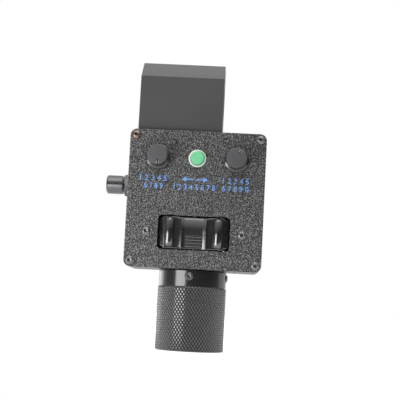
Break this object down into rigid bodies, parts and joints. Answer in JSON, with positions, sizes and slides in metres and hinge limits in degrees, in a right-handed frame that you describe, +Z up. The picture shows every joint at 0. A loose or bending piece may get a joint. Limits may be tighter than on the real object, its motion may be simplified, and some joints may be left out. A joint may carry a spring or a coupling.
{
  "type": "lens zoom controller",
  "caption": "Hand controller for a camera lens: a painted box with a zoom rocker, rate and travel knobs, a push button, a side knob, a knurled twist drum below and a bar clamp above.",
  "frame": {"origin": "middle of the bar clamp's bore, where the controller is held", "axes": "+X along the clamped bar, to the right of the front plate; -Y out of the front plate; +Z up"},
  "size_m": [0.1087, 0.0714, 0.1975],
  "materials": {
    "wrinkle_paint": "dark grey wrinkle paint on die-cast aluminium",
    "satin_paint": "smooth dark grey satin paint on machined aluminium",
    "dark_screw": "blackened steel",
    "bright_screw": "plain steel",
    "gloss_black": "glossy moulded black plastic",
    "black_plastic": "matt moulded black plastic",
    "grey_cap": "flat grey plastic",
    "steel": "nickel-plated steel",
    "spring_wire": "spring steel wire",
    "green_button": "green moulded plastic",
    "white_ring": "white moulded plastic",
    "knurled_grip": "black anodised, diamond knurled aluminium",
    "board": "green circuit board",
    "brass": "turned brass",
    "nickel": "nickel-plated metal",
    "lead_sleeve": "sleeved wires"
  },
  "bodies": {
    "controller_box": {"box_body": "wrinkle_paint", "front_plate": "wrinkle_paint", "clamp_block": "satin_paint", "clamp_cap": "satin_paint", "plate_screws": "dark_screw", "rocker_screws": "dark_screw", "back_screws": "dark_screw", "clamp_screws": "bright_screw", "foot_screws": "bright_screw", "board_screws": "bright_screw", "socket_screws": "bright_screw", "rocker_frame": "black_plastic", "rocker_sensor": "black_plastic", "button_switch": "black_plastic", "board_parts": "black_plastic", "socket_insert": "black_plastic", "left_pot_nut": "steel", "right_pot_nut": "steel", "focus_pot_nut": "steel", "side_nut": "steel", "side_washer": "steel", "button_nut": "steel", "left_pot": "steel", "right_pot": "steel", "side_pot": "steel", "focus_pot": "steel", "rocker_springs": "spring_wire", "button_spring": "spring_wire", "button_barrel": "white_ring", "circuit_board": "board", "board_standoffs": "brass", "socket_shell": "nickel", "inner_leads": "lead_sleeve"},
    "zoom_rocker": {"zoom_rocker": "gloss_black", "rocker_pin": "steel"},
    "left_knob": {"left_knob": "black_plastic", "left_knob_cap": "grey_cap", "left_shaft": "steel"},
    "right_knob": {"right_knob": "black_plastic", "right_knob_cap": "grey_cap", "right_shaft": "steel"},
    "side_knob": {"side_knob": "black_plastic", "side_shaft": "steel"},
    "push_button": {"push_button": "green_button"},
    "focus_drum": {"focus_drum": "knurled_grip", "drum_end_cap": "knurled_grip", "drum_screws": "bright_screw", "focus_shaft": "steel"}
  },
  "joints": [
    {"name": "zoom_rocker_tilt", "type": "hinge", "parent": "controller_box", "child": "zoom_rocker", "pos_m": [0.013, -0.0195, -0.0929], "axis": [0, 0, 1], "range_deg": [-10, 10], "stiffness_Nm_per_rad": 0.4, "deforming": ["rocker_springs"]},
    {"name": "left_knob_turn", "type": "hinge", "parent": "controller_box", "child": "left_knob", "pos_m": [-0.0133, -0.029, -0.0428], "axis": [0, -1, 0], "range_deg": [-150, 150]},
    {"name": "right_knob_turn", "type": "hinge", "parent": "controller_box", "child": "right_knob", "pos_m": [0.0393, -0.029, -0.0428], "axis": [0, -1, 0], "range_deg": [-121, 179]},
    {"name": "side_knob_turn", "type": "hinge", "parent": "controller_box", "child": "side_knob", "pos_m": [-0.033, -0.005, -0.0603], "axis": [-1, 0, 0], "range_deg": [-150, 150]},
    {"name": "push_button_press", "type": "slide", "parent": "controller_box", "child": "push_button", "axis": [0, 1, 0], "range_m": [0, 0.002], "stiffness_N_per_m": 600, "springref_m": -0.002, "deforming": ["button_spring"]},
    {"name": "focus_drum_turn", "type": "hinge", "parent": "controller_box", "child": "focus_drum", "pos_m": [0.013, -0.005, -0.117], "axis": [0, 0, 1], "range_deg": [-150, 150]}
  ]
}
